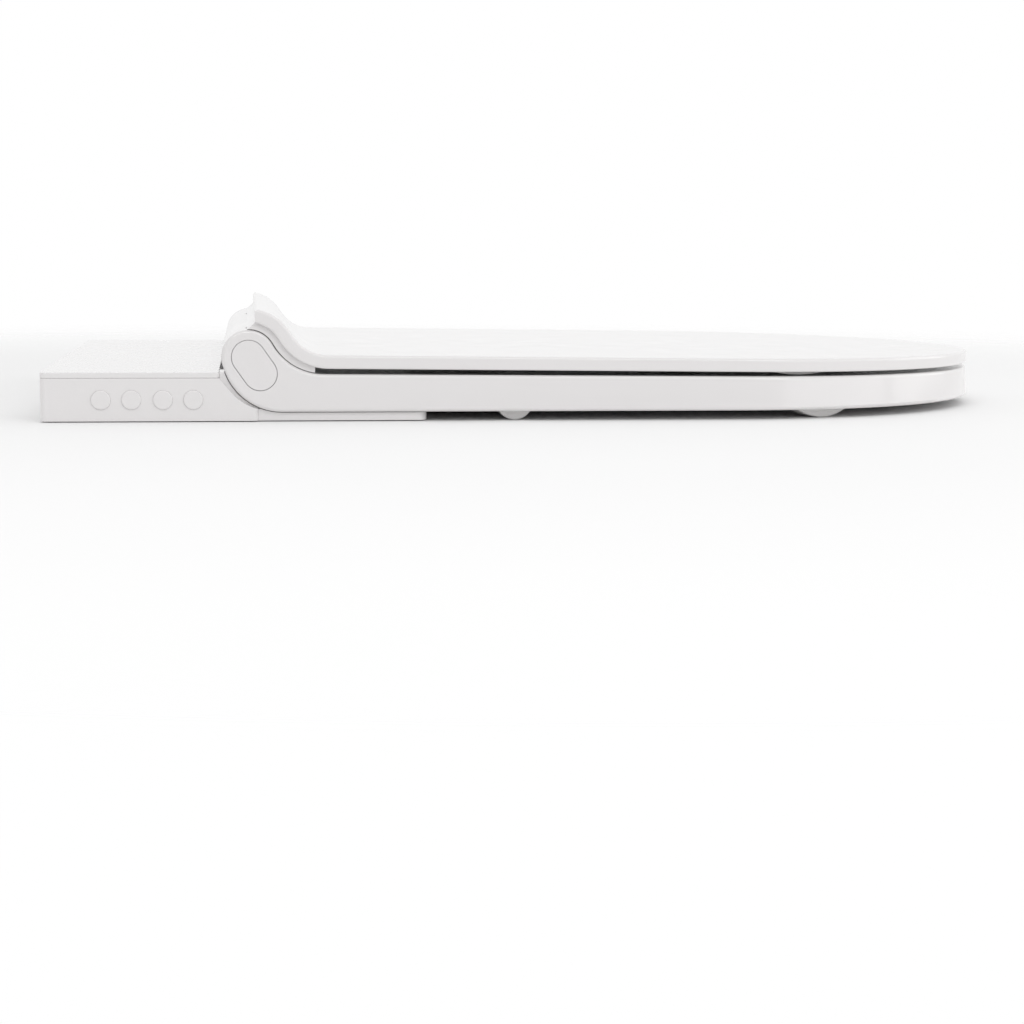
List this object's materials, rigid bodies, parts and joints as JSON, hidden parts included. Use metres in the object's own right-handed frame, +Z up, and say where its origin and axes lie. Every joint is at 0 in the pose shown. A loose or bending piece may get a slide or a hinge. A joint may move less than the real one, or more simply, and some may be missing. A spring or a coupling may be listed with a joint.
{
  "type": "electric bidet seat",
  "caption": "Slim electric bidet seat: flat housing with side buttons, hinged seat ring and lid with curled edge, sliding wash nozzle, dryer and pan mounting plate.",
  "frame": {"origin": "midway between the two pan fixings, on the plane where the seat rests on the pan", "axes": "+Z up, -Y towards the front of the seat, +X towards a seated user's left"},
  "size_m": [0.3814, 0.6003, 0.0644],
  "materials": {
    "board_green": "coated circuit board",
    "buffer_rubber": "translucent white soft rubber",
    "button_white": "satin white moulding",
    "damper_plastic": "moulded, matt",
    "dark_plastic": "moulded, matt",
    "foil": "copper-tinted heating foil",
    "hose_clear": "soft tube",
    "inner_plastic": "moulded, matt",
    "pad_rubber": "matt grey rubber",
    "seat_white": "high-gloss white moulding",
    "shell_white": "high-gloss white moulding",
    "steel": "brushed"
  },
  "bodies": {
    "base": {"housing_shell": "shell_white", "top_cover": "shell_white", "hinge_barrel": "shell_white", "base_tray": "shell_white", "front_cover": "shell_white", "base_pads": "pad_rubber", "base_screws": "steel", "mounting_plate": "steel", "seat_damper": "damper_plastic", "lid_hinge_pin": "steel", "keypad": "pad_rubber", "button_board": "board_green", "control_board": "board_green", "power_supply": "dark_plastic", "board_posts": "inner_plastic", "cable_gland": "pad_rubber", "water_inlet": "damper_plastic", "inlet_strainer": "steel", "solenoid_valve": "dark_plastic", "flow_meter": "inner_plastic", "water_heater": "inner_plastic", "water_pump": "inner_plastic", "hoses": "hose_clear", "nozzle_guide": "inner_plastic", "nozzle_motor": "steel", "fan_housing": "inner_plastic", "fan_motor": "steel", "air_duct": "inner_plastic"},
    "ring": {"seat_ring": "seat_white", "ring_underside": "seat_white", "ring_screws": "steel", "ring_buffers": "buffer_rubber", "seat_heater": "foil", "hinge_caps": "seat_white", "seat_hinge_shaft": "steel"},
    "lid": {"lid": "seat_white", "lid_buffers": "buffer_rubber", "lid_damper": "damper_plastic", "lid_bushes": "inner_plastic"},
    "nozzle": {"wash_nozzle": "steel", "nozzle_tip": "inner_plastic", "nozzle_rack": "dark_plastic"},
    "pinion": {"nozzle_pinion": "dark_plastic"},
    "fan": {"fan_wheel": "dark_plastic"},
    "release": {"release_bar": "inner_plastic"},
    "button_1": {"side_button_1": "button_white"},
    "button_2": {"side_button_2": "button_white"},
    "button_3": {"side_button_3": "button_white"},
    "button_4": {"side_button_4": "button_white"}
  },
  "joints": [
    {"name": "seat_hinge", "type": "hinge", "parent": "base", "child": "ring", "pos_m": [0, -0.02, 0.0371], "axis": [1, 0, 0], "range_deg": [-100, 0]},
    {"name": "lid_hinge", "type": "hinge", "parent": "ring", "child": "lid", "pos_m": [0, -0.02, 0.0371], "axis": [-1, 0, 0], "range_deg": [0, 105]},
    {"name": "nozzle_slide", "type": "slide", "parent": "base", "child": "nozzle", "axis": [0, -0.999, -0.0436], "range_m": [0, 0.09]},
    {"name": "pinion_spin", "type": "hinge", "parent": "base", "child": "pinion", "pos_m": [0.0106, -0.06505, 0.0104], "axis": [0, -0.0436, 0.999], "range_deg": [-1080, 1080]},
    {"name": "fan_spin", "type": "hinge", "parent": "base", "child": "fan", "pos_m": [-0.008, 0.065, 0.012], "axis": [0, 0, 1], "continuous": true},
    {"name": "release_push", "type": "slide", "parent": "base", "child": "release", "axis": [-1, 0, 0], "range_m": [0, 0.004], "stiffness_N_per_m": 900},
    {"name": "button_1_press", "type": "slide", "parent": "base", "child": "button_1", "axis": [1, 0, 0], "range_m": [0, 0.001], "stiffness_N_per_m": 1200},
    {"name": "button_2_press", "type": "slide", "parent": "base", "child": "button_2", "axis": [1, 0, 0], "range_m": [0, 0.001], "stiffness_N_per_m": 1200},
    {"name": "button_3_press", "type": "slide", "parent": "base", "child": "button_3", "axis": [1, 0, 0], "range_m": [0, 0.001], "stiffness_N_per_m": 1200},
    {"name": "button_4_press", "type": "slide", "parent": "base", "child": "button_4", "axis": [1, 0, 0], "range_m": [0, 0.001], "stiffness_N_per_m": 1200}
  ],
  "couplings": [
    {"joint": "pinion_spin", "follows": "nozzle_slide", "rad_per_m": 208.33}
  ]
}
